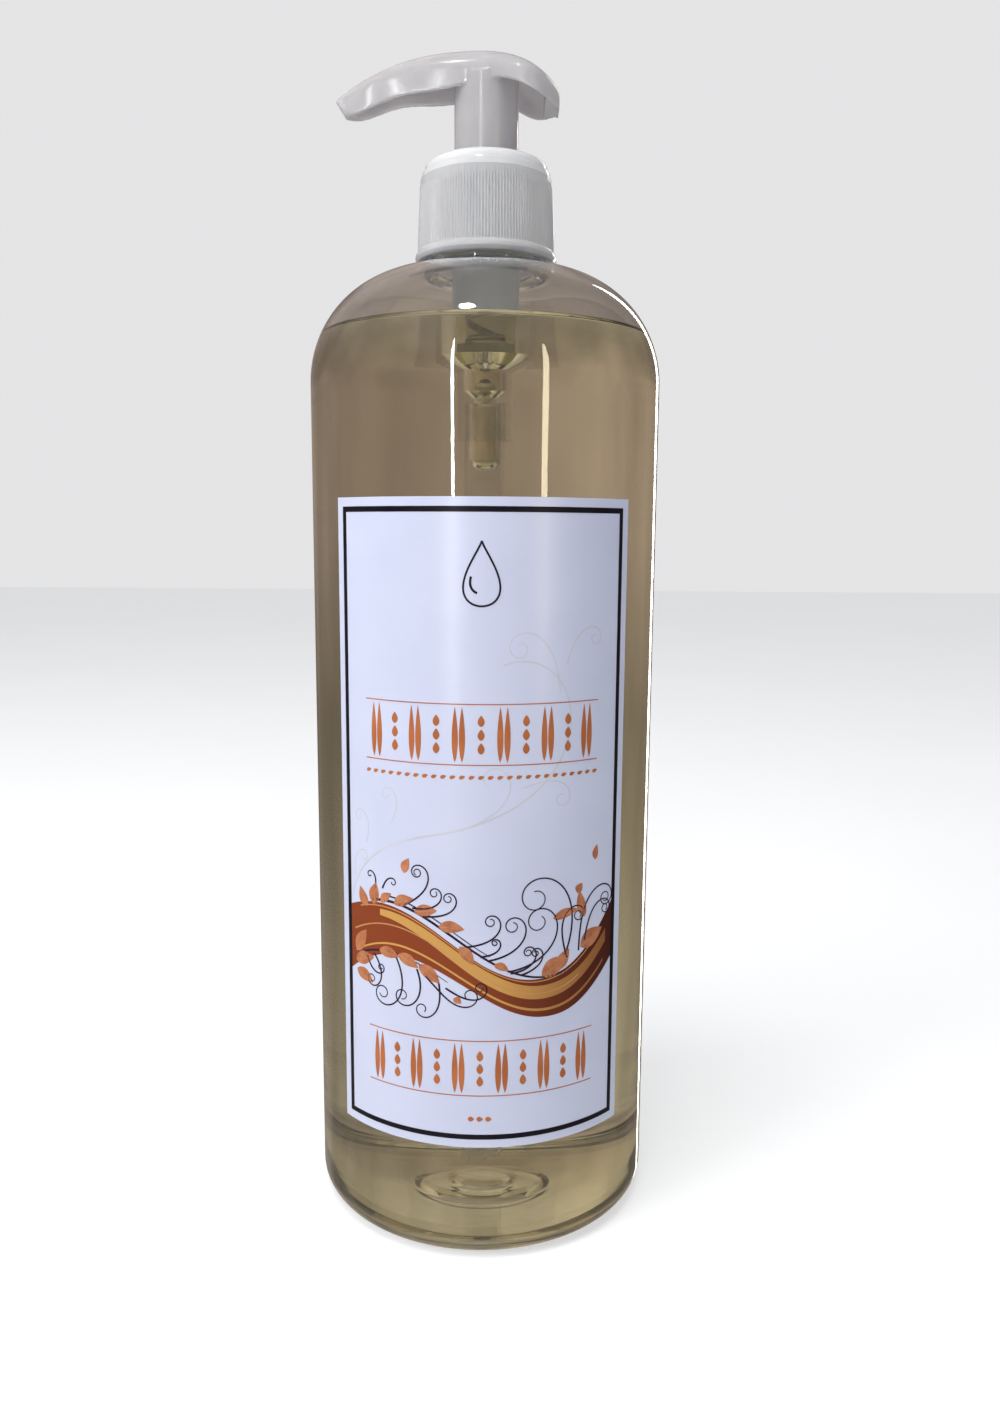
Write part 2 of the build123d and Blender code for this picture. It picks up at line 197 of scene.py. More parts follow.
class Surface:
    """A procedural material: a Principled shader and short calls that add detail to it."""

    def __init__(self, name, colour, roughness, **sockets):
        self.material = bpy.data.materials.new(name)
        self.material.use_nodes = True
        self.tree = self.material.node_tree
        self.shader = self.tree.nodes["Principled BSDF"]
        self.shader.inputs["Base Color"].default_value = (*colour, 1)
        self.shader.inputs["Roughness"].default_value = roughness
        for socket, value in sockets.items():
            self.shader.inputs[socket.replace("_", " ")].default_value = value
        self.height = None

    def node(self, kind, **values):
        made = self.tree.nodes.new(kind)
        for key, value in values.items():
            if key in made.inputs:
                made.inputs[key].default_value = value
            else:
                setattr(made, key, value)
        return made

    def link(self, start, end):
        self.tree.links.new(start, end)

    def noise(self, scale, detail=3.0, stretch=(1, 1, 1), roughness=0.5):
        """Noise over object space, with scale in cells per metre before stretching."""
        place = self.node("ShaderNodeTexCoord")
        mapping = self.node("ShaderNodeMapping")
        mapping.inputs["Scale"].default_value = stretch
        self.link(place.outputs["Object"], mapping.inputs["Vector"])
        noise = self.node("ShaderNodeTexNoise", Scale=scale, Detail=detail, Roughness=roughness)
        self.link(mapping.outputs["Vector"], noise.inputs["Vector"])
        return noise.outputs["Fac"]

    def colour_between(self, factor, dark, light, low=0.35, high=0.65):
        ramp = self.node("ShaderNodeValToRGB")
        ramp.color_ramp.elements[0].position = low
        ramp.color_ramp.elements[0].color = (*dark, 1)
        ramp.color_ramp.elements[1].position = high
        ramp.color_ramp.elements[1].color = (*light, 1)
        self.link(factor, ramp.inputs["Fac"])
        self.link(ramp.outputs["Color"], self.shader.inputs["Base Color"])
        return self

    def rough_between(self, factor, low, high):
        spread = self.node("ShaderNodeMapRange")
        spread.inputs["To Min"].default_value = low
        spread.inputs["To Max"].default_value = high
        self.link(factor, spread.inputs["Value"])
        self.link(spread.outputs["Result"], self.shader.inputs["Roughness"])
        return self

    def bump(self, factor, strength, distance):
        bump = self.node("ShaderNodeBump", Strength=strength, Distance=distance)
        self.link(factor, bump.inputs["Height"])
        if self.height is not None:
            self.link(self.height.outputs["Normal"], bump.inputs["Normal"])
        self.link(bump.outputs["Normal"], self.shader.inputs["Normal"])
        self.height = bump
        return self

    def ramp_along(self, axis, first, second, low, high):
        """Colour that changes from first to second along X, Y or Z, between two places in millimetres."""
        place = self.node("ShaderNodeTexCoord")
        split = self.node("ShaderNodeSeparateXYZ")
        spread = self.node("ShaderNodeMapRange")
        spread.inputs["From Min"].default_value = low * MM
        spread.inputs["From Max"].default_value = high * MM
        self.link(place.outputs["Object"], split.inputs["Vector"])
        self.link(split.outputs[axis], spread.inputs["Value"])
        return self.colour_between(spread.outputs["Result"], first, second, 0.0, 1.0)


def clear_pet():
    """Blown PET: clear, with the long soft waves of a stretched wall and a few fine scuffs."""
    s = Surface("clear_pet", (0.985, 0.99, 0.975), 0.015, Transmission_Weight=1.0, IOR=1.575)
    waves = s.noise(26, 2.0, (1, 1, 0.35))
    s.bump(waves, 0.35, 0.0009)
    scuffs = s.noise(900, 4.0, (1, 1, 0.25))
    s.rough_between(scuffs, 0.005, 0.04)
    return s.material


def oil():
    """Clear straw-coloured oil, a little uneven in colour."""
    s = Surface("oil", (0.93, 0.89, 0.66), 0.0, Transmission_Weight=1.0, IOR=1.47)
    cloud = s.noise(18, 2.0, (1, 1, 0.4))
    s.colour_between(cloud, (0.925, 0.875, 0.66), (0.94, 0.895, 0.70))
    return s.material


def natural_pp(name, transmission, roughness, colour):
    """Natural polypropylene: cool, milky, satin, with faint flow marks and a fine grain."""
    s = Surface(
        name, colour, roughness,
        Transmission_Weight=transmission, IOR=1.49,
        Subsurface_Weight=0.55, Subsurface_Scale=0.004,
    )
    s.shader.inputs["Subsurface Radius"].default_value = (1.0, 1.0, 1.1)
    flow = s.noise(140, 3.0, (1, 1, 0.3))
    light = tuple(min(1.0, c * 1.05) for c in colour)
    dark = tuple(c * 0.955 for c in colour)
    s.colour_between(flow, dark, light)
    grain = s.noise(5200, 2.0)
    s.rough_between(s.noise(420, 4.0), roughness * 0.8, roughness * 1.25)
    s.bump(grain, 0.06, 0.00006)
    s.bump(s.noise(90, 2.0), 0.10, 0.0004)
    return s.material


def plain_plastic(name, colour, roughness, transmission=0.0, index=1.49):
    s = Surface(name, colour, roughness, Transmission_Weight=transmission, IOR=index)
    tone = s.noise(240, 3.0)
    s.colour_between(tone, tuple(c * 0.93 for c in colour), colour)
    s.bump(s.noise(2600, 3.0), 0.08, 0.00008)
    return s.material


def metal(name, colour, roughness, drawn):
    """Steel: polished for the ball, with fine lines along its length for the spring's wire."""
    s = Surface(name, colour, roughness, Metallic=1.0)
    lines = s.noise(1800, 3.0, drawn)
    s.rough_between(lines, roughness * 0.6, roughness * 1.6)
    s.bump(lines, 0.12, 0.00004)
    return s.material


def film():
    """White label film: cool white, a little mottled, with a satin varnish."""
    s = Surface("label_film", (0.57, 0.60, 0.755), 0.34, Coat_Weight=0.25, Coat_Roughness=0.22)
    s.colour_between(s.noise(60, 3.0), (0.55, 0.58, 0.735), (0.58, 0.61, 0.765))
    s.bump(s.noise(3800, 3.0), 0.05, 0.00005)
    s.bump(s.noise(55, 2.0, (1, 1, 0.4)), 0.12, 0.0005)
    return s.material


def ink_surface(name, colour):
    """Bare printed ink: satin, with the label film's fine grain."""
    s = Surface(name, colour, 0.42, Coat_Weight=0.03, Coat_Roughness=0.22, Specular_IOR_Level=0.15)
    s.bump(s.noise(3800, 3.0), 0.05, 0.00005)
    return s


def ink(name, dark, light):
    """Printed ink with the slight unevenness of a press."""
    s = ink_surface(name, light)
    s.colour_between(s.noise(160, 2.0), dark, light)
    return s.material


def graded_ink(name, colour, left, right, low, high):
    """Printed ink that changes from left to right between two places across the label."""
    s = ink_surface(name, colour)
    s.ramp_along("X", left, right, low, high)
    return s.material


def paint(piece, *materials):
    piece.data.materials.clear()
    for material in materials:
        piece.data.materials.append(material)


# ---------------------------------------------------------------- bottle

def neck_relief(angle, r, z):
    if r < neck_root - 0.2 or z < 222:
        return r
    return r + 1.1 * ridge_height(angle, z, thread_start, 1.5, 1.05)


def bottle_outline():
    """Closed outline of the PET wall, from the middle of the underside round to the inside."""
    inner = body_radius - wall
    middle = body_radius - shoulder_radius
    underside = rounded([
        (0, 4.6, 0), (4.4, 4.6, 0.6), (5.2, 3.6, 0.6), (9.2, 3.2, 0.8), (10.6, 1.9, 0.8),
        (29.0, 0.9, 3.0), (32.0, 0.02, 0.9), (34.0, 0.0, 0),
    ])
    corner = arc(34.0, 6.0, 6.0, -86, 0, 14)
    side = stretch((body_radius, 6.5), (body_radius, shoulder_height), 6.0)
    dome = arc(middle, shoulder_height, shoulder_radius, 0, 88, 36)
    neck_low = rounded([
        (middle, 219.0, 0), (13.5, 219.1, 0.5), (12.9, 219.7, 0.2), (14.2, 220.0, 0.25),
        (14.2, 220.7, 0.25), (12.6, 221.0, 0.3), (12.6, 222.4, 0),
    ])
    neck_wall = stretch((neck_root, 222.8), (neck_root, neck_top - 1.0), 0.33)
    rim = rounded([
        (neck_root, neck_top - 0.9, 0), (neck_root, neck_top, 0.45), (neck_bore, neck_top, 0.35),
        (neck_bore, neck_top - 1.2, 0),
    ])
    bore = stretch((neck_bore, neck_top - 2), (neck_bore, 221.5), 3.0)
    throat = rounded([(neck_bore, 221.4, 0), (neck_bore, 219.6, 1.2), (12.6, 218.3, 1.2), (14.6, 218.3, 0)])
    dome_inside = arc(middle, shoulder_height, shoulder_radius - wall, 88, 0, 36)
    side_inside = stretch((inner, shoulder_height - 4), (inner, 9.6), 6.0)
    corner_inside = arc(inner - 7.0, 9.2, 7.0, 0, -88, 14)
    floor_inside = rounded([
        (inner - 7.2, 2.2, 0), (29.0, 2.3, 3.0), (10.8, 3.4, 0.8), (9.4, 4.8, 0.8),
        (5.4, 5.2, 0.6), (4.4, 6.4, 0.6), (0, 6.6, 0),
    ])
    return (
        underside + corner + side + dome + neck_low + neck_wall + rim + bore + throat
        + dome_inside + side_inside + corner_inside + floor_inside
    )


def make_bottle():
    piece = lathe("bottle_shell", [bottle_outline()], "bottle_body", 224, neck_relief, 50)
    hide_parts("bottle")
    paint(piece, clear_pet())
    return piece


# ---------------------------------------------------------------- oil

def make_oil():
    """The oil, sunk a hair into the walls that hold it, so that light passes from one to the other.

    Its inside follows the pump's air spaces: the cylinder, the valve and the top of the dip tube."""
    sink = 0.06
    inner = body_radius - wall + sink
    middle = body_radius - shoulder_radius
    dome_radius = shoulder_radius - wall + sink
    climb = 1.1
    top_angle = math.degrees(math.asin((fill_height + climb - shoulder_height) / dome_radius))
    wall_r = middle + dome_radius * math.cos(math.radians(top_angle))
    bore = cylinder_bore + sink
    outline = [(0, 6.6 - sink)] + rounded([
        (0, 6.6 - sink, 0), (4.4, 6.4 - sink, 0.6), (5.4, 5.2 - sink, 0.6), (9.4, 4.8 - sink, 0.8),
        (10.8, 3.4 - sink, 0.8), (29.0, 2.3 - sink, 3.0), (32.1, 2.2 - sink, 0),
    ])[1:]
    outline += arc(inner - 7.0, 9.2, 7.0, -88, 0, 14)
    outline += stretch((inner, 9.8), (inner, shoulder_height), 6.0)
    outline += arc(middle, shoulder_height, dome_radius, 0, top_angle, 14)
    # Meniscus at the wall, level surface, meniscus at the cylinder
    for k in range(1, 9):
        fall = math.exp(-k * 0.55)
        outline.append((wall_r - 0.45 * k, fill_height + climb * fall))
    outline += [(wall_r - 5.5, fill_height), (20.0, fill_height), (cylinder_radius + 3.0, fill_height)]
    for k in range(6, 0, -1):
        outline.append((cylinder_radius + 0.4 * k, fill_height + 0.9 * math.exp(-k * 0.6)))
    outline += [(cylinder_radius - 0.1, fill_height + 0.9), (bore, fill_height + 0.9)]
    # Air spaces inside the pump, down to the oil's level in the dip tube
    outline += [
        (bore, 203.0), (bore, 198.6), (3.3 + sink, 196.2), (3.3 + sink, 191.6),
        (1.7 + sink, 190.0), (1.7 + sink, 189.0), (tube_bore + 0.03, 188.8),
        (tube_bore + 0.03, 183.0), (tube_bore + 0.03, air_column_bottom + 2.4),
    ]
    bulb = arc(0, air_column_bottom + tube_bore, tube_bore + 0.03, 0, -90, 8)[1:-1]
    outline += bulb + [(0, air_column_bottom - 0.03)]
    piece = lathe("oil_fill", [outline], "bottle_body", 192, None, 30)
    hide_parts("massage_oil")
    paint(piece, oil())
    return piece


# ---------------------------------------------------------------- label

film_radius = body_radius + 0.07
ink_radius = body_radius + 0.11
label_half_width = body_radius * label_half_angle
border_inset = 1.9
border_width = 1.15


class Print:
    """Shapes in one ink. A shape is a strip of left and right edge points (u, v) on the label.

    u runs round the bottle from the label's middle, and v is the height, both in millimetres."""

    def __init__(self, radius=ink_radius):
        self.radius = radius
        self.vertices = []
        self.faces = []

    def place(self, u, v, radius):
        angle = u / body_radius
        self.vertices.append((radius * math.sin(angle), -radius * math.cos(angle), v))

    def strip(self, left, right, across=1):
        """A closed sliver of ink between two edges with as many points each."""
        first = len(self.vertices)
        columns = across + 1
        for radius in (self.radius, film_radius - 0.02):
            for a, b in zip(left, right):
                for k in range(columns):
                    t = k / across
                    self.place(a[0] + (b[0] - a[0]) * t, a[1] + (b[1] - a[1]) * t, radius)
        rows = len(left)
        under = rows * columns
        for i in range(rows - 1):
            for k in range(across):
                a = first + i * columns + k
                b, c, d = a + 1, a + columns + 1, a + columns
                self.faces.append((a, b, c, d))
                self.faces.append((a + under, d + under, c + under, b + under))
            for k, flip in ((0, False), (across, True)):
                a = first + i * columns + k
                side = (a, a + columns, a + columns + under, a + under)
                self.faces.append(side[::-1] if flip else side)
        for row, flip in ((0, True), (rows - 1, False)):
            for k in range(across):
                a = first + row * columns + k
                end = (a, a + 1, a + 1 + under, a + under)
                self.faces.append(end[::-1] if flip else end)

    def line(self, path, width, taper=1.0):
        """A stroke along a path, narrowing to taper times its width at its far end."""
        left, right = [], []
        for i, (u, v) in enumerate(path):
            back = path[max(0, i - 1)]
            on = path[min(len(path) - 1, i + 1)]
            du, dv = on[0] - back[0], on[1] - back[1]
            length = math.hypot(du, dv) or 1.0
            half = width / 2 * (1 + (taper - 1) * i / (len(path) - 1))
            left.append((u - dv / length * half, v + du / length * half))
            right.append((u + dv / length * half, v - du / length * half))
        self.strip(left, right)

    def leaf(self, u, v, heading, length, width, bend=0.0):
        """An almond leaf from its stalk at (u, v), with its heading in degrees."""
        left, right = [], []
        steps = 14
        a = math.radians(heading)
        for i in range(steps + 1):
            t = i / steps
            half = width / 2 * math.sin(math.pi * t ** 0.8) ** 0.9 + 0.03
            along, side = length * t, bend * math.sin(math.pi * t)
            for edge, sign in ((left, 1), (right, -1)):
                off = side + sign * half
                edge.append((
                    u + along * math.cos(a) - off * math.sin(a), v + along * math.sin(a) + off * math.cos(a)
                ))
        self.strip(left, right, across=3)

    def frame(self, u0, u1, v0, v1, width):
        """A rectangular frame whose outer edges are these."""
        count = max(2, round((u1 - u0) / 0.8))
        run = [u0 + (u1 - u0) * k / count for k in range(count + 1)]
        for low in (v0, v1 - width):
            self.strip([(u, low + width) for u in run], [(u, low) for u in run])
        for left in (u0, u1 - width):
            right = left + width
            self.strip([(left, v0 + width), (left, v1 - width)], [(right, v0 + width), (right, v1 - width)])

    def finish(self, name, material):
        piece = new_object(name, self.vertices, self.faces, "bottle_body", 40)
        paint(piece, material)
        return piece


def curl(u, v, heading, length, first_bend, last_bend, power=2.2, steps=72):
    """Path whose bend grows along it, in degrees per millimetre, so that it winds into a spiral."""
    path = [(u, v)]
    a = math.radians(heading)
    step = length / steps
    for k in range(steps):
        t = (k + 0.5) / steps
        a += math.radians(first_bend + (last_bend - first_bend) * t ** power) * step
        u += math.cos(a) * step
        v += math.sin(a) * step
        path.append((u, v))
    return path


def make_label_film():
    """The film itself, a closed curved sheet with its inner face on the PET."""
    inner = body_radius - 0.03
    columns = 132
    vertices, faces = [], []
    for radius in (film_radius, inner):
        for v in (label_low, label_high):
            for k in range(columns + 1):
                a = -label_half_angle + 2 * label_half_angle * k / columns
                vertices.append((radius * math.sin(a), -radius * math.cos(a), v))
    row = columns + 1
    for k in range(columns):
        faces.append((k, k + 1, row + k + 1, row + k))
        faces.append((2 * row + k, 3 * row + k, 3 * row + k + 1, 2 * row + k + 1))
        faces.append((k, 2 * row + k, 2 * row + k + 1, k + 1))
        faces.append((row + k, row + k + 1, 3 * row + k + 1, 3 * row + k))
    faces.append((0, row, 3 * row, 2 * row))
    faces.append((columns, 2 * row + columns, 3 * row + columns, row + columns))
    piece = new_object("label_sheet", vertices, faces, "bottle_body", 40)
    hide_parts("front_label")
    paint(piece, film())
    return piece


def wave_middle(u):
    return 68.6 + 7.4 * math.cos(math.pi * (u + 21) / 35) + 0.018 * max(0.0, u - 18) ** 2


def wave_band(art, above, below, first=-1.0, last=1.0):
    """Part of the wave, between offsets from its middle line given at the left, middle and right."""
    edge = label_half_width - border_inset - border_width
    steps = 84
    top, bottom = [], []
    for k in range(steps + 1):
        t = first + (last - first) * k / steps
        u = edge * t
        low = below[1] + (below[0] - below[1]) * max(0, -t) ** 1.5 + (below[2] - below[1]) * max(0, t) ** 1.5
        high = above[1] + (above[0] - above[1]) * max(0, -t) ** 1.5 + (above[2] - above[1]) * max(0, t) ** 1.5
        top.append((u, wave_middle(u) + high))
        bottom.append((u, wave_middle(u) + low))
    art.strip(top, bottom, across=3)


def make_border():
    art = Print()
    side = label_half_width - border_inset
    art.frame(-side, side, label_low + border_inset, label_high - border_inset, border_width)
    return art.finish("label_border", ink("ink_black", (0.004, 0.003, 0.008), (0.008, 0.006, 0.012)))


def make_emblem():
    """A plain oil drop at the top of the label, with a curved glint in it."""
    art = Print()
    centre = label_high - 15.4
    for scale, start, end, width in ((1.0, 0, 360, 0.42), (0.62, 196, 262, 0.5)):
        path = []
        for k in range(61):
            t = math.radians(start + (end - start) * k / 60)
            side = math.sin(t) * abs(math.sin(t / 2)) ** 1.5
            path.append((5.4 * scale * side, centre + 6.6 * scale * math.cos(t)))
        art.line(path, width)
    return art.finish("label_emblem", ink("ink_black_fine", (0.010, 0.009, 0.018), (0.020, 0.018, 0.030)))


def spindle(art, u, v, height, width):
    art.leaf(u, v - height / 2, 90, height, width)


def make_ornament_bands():
    """Two bands of tall spindles and stacked lozenges, with a fine row of lozenges below the first."""
    art = Print()
    half = 26.0
    for low, height, count in ((113.6, 11.6, 11), (40.2, 11.4, 11)):
        middle = low + height / 2
        pitch = 2 * half / count
        for k in range(count):
            u = -half + pitch * (k + 0.5)
            if k % 2 == 0:
                spindle(art, u - 0.75, middle, height, 1.25)
                spindle(art, u + 0.75, middle, height, 1.25)
            else:
                for step in (-1, 0, 1):
                    spindle(art, u, middle + 2.9 * step, 2.4, 1.4)
        for v in (low - 0.7, low + height + 0.5):
            art.frame(-half - 0.6, half + 0.6, v, v + 0.22, 0.11)
    for k in range(27):
        art.leaf(-half + 2.0 * k - 0.6, 110.2, 18, 1.35, 0.75)
    for k in (-1, 0, 1):
        art.leaf(1.9 * k - 0.7, 34.2, 0, 1.4, 1.1)
    return art.finish("label_ornament_bands", ink("ink_orange", (0.38, 0.112, 0.034), (0.46, 0.142, 0.045)))


def make_wave():
    base = Print(ink_radius - 0.02)
    wave_band(base, (6.4, 3.4, 7.4), (-8.4, -3.8, -5.6))
    brown = graded_ink("ink_wave", (0.4, 0.12, 0.035), (0.23, 0.045, 0.011), (0.045, 0.005, 0.003), 0, 31)
    base.finish("label_wave", brown)
    gold = Print(ink_radius - 0.01)
    wave_band(gold, (4.6, 2.6, 3.6), (4.2, -0.4, 0.6), -0.72, 0.94)
    wave_band(gold, (-4.8, -2.2, -2.6), (-5.2, -2.7, -3.4), -0.95, 0.92)
    amber = graded_ink("ink_gold", (0.6, 0.3, 0.08), (0.55, 0.29, 0.075), (0.22, 0.065, 0.018), 4, 30)
    gold.finish("label_wave_gold", amber)
    light = Print()
    wave_band(light, (5.6, 3.15, 6.4), (5.3, 2.95, 6.1), -0.9, 0.8)
    wave_band(light, (0.5, 0.9, 2.2), (0.15, 0.7, 1.9), -0.96, 0.7)
    light.finish("label_wave_lights", ink("ink_amber", (0.48, 0.22, 0.085), (0.54, 0.27, 0.11)))


def make_foliage():
    """Leaves on two stems that follow the wave, one above it and one below, with spiral tendrils."""
    leaves = Print()
    veins = Print(ink_radius + 0.008)
    stems = Print()
    upper = [(u, wave_middle(u) + 5.2 - 0.03 * u) for u in [-25 + 1.0 * k for k in range(47)]]
    lower = [(u, wave_middle(u) - 5.6) for u in [-30 + 1.0 * k for k in range(24)]]
    stems.line(upper, 0.62, 0.6)
    stems.line([(u, v + 1.1) for u, v in upper[4:28]], 0.34, 0.5)
    stems.line(lower, 0.55, 0.25)
    for u, side, heading, length, width in (
        (-27.0, 4.6, 118, 4.6, 2.5), (-25.0, 4.9, 82, 5.0, 2.8), (-23.0, 5.4, 40, 3.6, 1.9),
        (-19.5, 5.6, 20, 5.0, 2.5), (-14.5, 5.6, 8, 5.2, 2.6), (-9.0, 5.6, -4, 5.6, 2.6),
        (-4.5, 4.2, -52, 5.0, 2.4), (3.0, 5.0, -25, 3.4, 1.7), (13.5, 5.0, 30, 7.2, 3.8),
        (17.5, 5.6, 60, 5.0, 2.8), (23.0, 7.4, 28, 7.0, 3.9), (24.0, 13.5, 104, 6.2, 2.4),
        (-30.5, -5.0, 60, 6.4, 3.0), (-30.8, -7.0, 18, 6.0, 3.0), (-30.5, -9.2, -22, 5.4, 2.8),
        (-23.5, -5.5, -8, 5.2, 2.5), (-18.5, -5.6, -26, 5.4, 2.6), (-13.5, -5.8, -38, 6.0, 2.8),
        (-17.0, 13.2, 70, 3.6, 2.0), (16.0, 17.5, 12, 6.4, 2.1), (22.0, 20.4, 60, 2.4, 1.9),
        (26.8, 23.5, 82, 3.4, 1.6), (-5.8, -8.4, -30, 2.0, 1.5),
    ):
        v = wave_middle(u) + side
        leaves.leaf(u, v, heading, length, width, 0.25)
        a = math.radians(heading)
        along = [t * length for t in (0.05, 0.3, 0.6, 0.9)]
        veins.line([(u + r * math.cos(a), v + r * math.sin(a)) for r in along], 0.14, 0.3)
    for u, side, heading, length, first, last in (
        (-24.5, 8.5, 80, 7.0, 6, 150), (-22.5, 8.5, 70, 7.0, -6, -150), (-17.0, 6.0, 28, 22, 2.5, 92),
        (-12.5, 5.6, 2, 17, 2, 95), (-15.0, 6.2, -2, 15, 3, 100), (-3.0, 5.2, 6, 19, 3, 84),
        (1.5, 5.0, 8, 24, 3.4, 62), (6.0, 4.8, 6, 34, 3.2, 40), (6.5, 4.6, 4, 16, 5, 110),
        (9.0, 5.0, 16, 14, 4, 120), (0.0, 5.0, 4, 11, 5, 150),
        (19.5, 7.4, 108, 24, -1.2, -78), (22.5, 7.0, 88, 33, -0.7, -62), (24.0, 8.0, 78, 21, -0.8, -88),
        (19.0, 8.4, 66, 40, 2.6, 33),
        (-19.0, -6.5, -62, 26, -4, -58), (-14.0, -7.0, -66, 20, -5.4, -66), (-25.0, -6.4, -48, 16, -6, -90),
        (-12.0, -7.5, -42, 21, -1.4, 66), (-9.0, -7.0, -80, 17, -3.0, -72), (-27.0, -6.8, -74, 11, 8, 130),
        (-7.5, -7.2, -32, 17, 1.4, 88),
    ):
        path = curl(u, wave_middle(u) + side, heading, length, first, last)
        stems.line(path, 0.44, 0.5)
    leaf_ink = Surface("ink_leaf", (0.4, 0.13, 0.05), 0.42, Coat_Weight=0.1, Coat_Roughness=0.22)
    leaf_ink.colour_between(leaf_ink.noise(420, 3.0), (0.34, 0.096, 0.032), (0.54, 0.20, 0.078), 0.3, 0.7)
    leaf_ink.bump(leaf_ink.noise(3800, 3.0), 0.05, 0.00005)
    leaves.finish("label_leaves", leaf_ink.material)
    veins.finish("label_leaf_veins", ink("ink_pale_copper", (0.52, 0.23, 0.11), (0.59, 0.28, 0.14)))
    stems.finish("label_tendrils", ink("ink_plum", (0.016, 0.010, 0.026), (0.040, 0.018, 0.040)))


def make_faint_swirl():
    """The pale branch behind the print, from the lower left up to curls at the upper right."""
    art = Print(ink_radius - 0.025)
    branch = curl(-31.5, 82, 74, 30, -3.6, -0.6, 1.0)
    art.line(branch, 0.5)
    on = branch[-1]
    art.line(curl(on[0], on[1], 14, 62, 0.6, 6.5, 1.4, 110), 0.5, 0.6)
    art.line(curl(on[0] + 4, on[1] + 1.0, 22, 26, 1.0, 34, 2.0), 0.36, 0.6)
    for u, v, heading, length, first, last in (
        (-30.5, 86, 100, 12, -4, -90), (-27, 94, 70, 14, 4, 90), (-20, 99.5, 60, 14, 4, 84),
        (17, 128, 96, 30, 1.4, 48), (18.5, 134, 74, 20, -2.2, -66), (9, 108, 20, 20, -2, -60),
    ):
        art.line(curl(u, v, heading, length, first, last), 0.36, 0.6)
    art.finish("label_faint_swirl", ink("ink_pearl", (0.51, 0.52, 0.575), (0.56, 0.57, 0.625)))


# ---------------------------------------------------------------- closure

rib_count = 140
rib_depth = 0.27
dome_foot = 238.2


def closure_relief(angle, r, z):
    """Ribs on the skirt's outside, and one turn of thread on its inside."""
    if 14.9 <= r and 223.3 < z < 237.3:
        window = min(1.0, (z - 223.3) / 0.5, (237.3 - z) / 0.6)
        return r - rib_depth * window * (0.5 - 0.5 * math.cos(rib_count * angle)) ** 1.4
    if r < 14.2 and 224 < z < 239:
        return r - 1.0 * ridge_height(angle, z, thread_start - thread_pitch / 2, 1.0, 1.0)
    return r


def make_closure():
    """The screw closure: flared bead, ribbed skirt, small step and glossy dome round the head's opening; the
    dome's lighter, less see-through plastic is painted light from above.
    """
    outside = rounded([
        (13.95, 221.4, 0), (14.1, 221.2, 0.1), (15.6, 221.2, 0.4), (16.1, 222.0, 0.5),
        (15.9, 222.8, 0.4), (15.45, 223.5, 0.2), (15.5, 224.0, 0),
    ])
    skirt = stretch((15.5, 224.3), (15.0, 237.0), 0.7)
    shoulder = rounded([
        (15.0, 237.2, 0), (14.75, 239.0, 2.0), (14.4, 240.2, 0.15), (14.1, 240.4, 0.12), (13.9, 240.9, 0),
    ])
    dome = [
        (7.6 + 6.3 * math.sin(math.radians(a)) ** 0.86, 240.9 + 2.45 * math.cos(math.radians(a)) ** 0.9)
        for a in range(80, 12, -6)
    ]
    opening = rounded([(8.3, 243.4, 0), (7.6, 243.4, 0.3), (7.6, 240.2, 0.2), (9.0, 240.2, 0)])
    seat = rounded([(9.4, 240.2, 0), (13.95, 240.2, 0.5), (13.95, 238.6, 0)])
    bore = stretch((13.95, 238.3), (13.95, 221.8), 0.33)
    outline = outside + skirt + shoulder + dome + opening + seat + bore
    piece = lathe("closure_shell", [outline], "closure_body", rib_count * 6, closure_relief, 40)
    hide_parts("closure")
    skirt_finish = natural_pp("closure_pp", 0.50, 0.13, (0.93, 0.93, 0.985))
    # The dome gets a lighter, less see-through copy of the skirt's plastic: painted light, standing in for
    # light falling on its top.
    dome_lit_finish = natural_pp("closure_pp_dome_painted_light", 0.26, 0.13, (0.93, 0.935, 0.965))
    paint(piece, skirt_finish, dome_lit_finish)
    # Faces above the dome's foot take the painted-light copy of the plastic.
    for polygon in piece.data.polygons:
        polygon.material_index = 1 if polygon.center.z > dome_foot * MM else 0
    return piece


# ---------------------------------------------------------------- pump

def make_head():
    """The moulded head, from the CAD shell, with even faces and its edges eased as a mould leaves them."""
    piece = bpy.data.objects.new("head_source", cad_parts["actuator_head"].data.copy())
    bpy.context.scene.collection.objects.link(piece)
    even = piece.modifiers.new("even_faces", "REMESH")
    even.mode = "VOXEL"
    even.voxel_size = 0.26 * MM
    ease = piece.modifiers.new("eased_edges", "SMOOTH")
    ease.factor = 0.5
    ease.iterations = 5
    bpy.context.view_layer.update()
    evaluated = piece.evaluated_get(bpy.context.evaluated_depsgraph_get())
    mesh = bpy.data.meshes.new_from_object(evaluated)
    bpy.data.objects.remove(piece)
    for polygon in mesh.polygons:
        polygon.use_smooth = True
    mesh.materials.clear()
    head = bpy.data.objects.new("head_shell", mesh)
    bpy.context.scene.collection.objects.link(head)
    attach(head, "head_body")
    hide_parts("actuator_head")
    paint(head, natural_pp("head_pp", 0.50, 0.14, (0.74, 0.72, 0.735)))
    return head


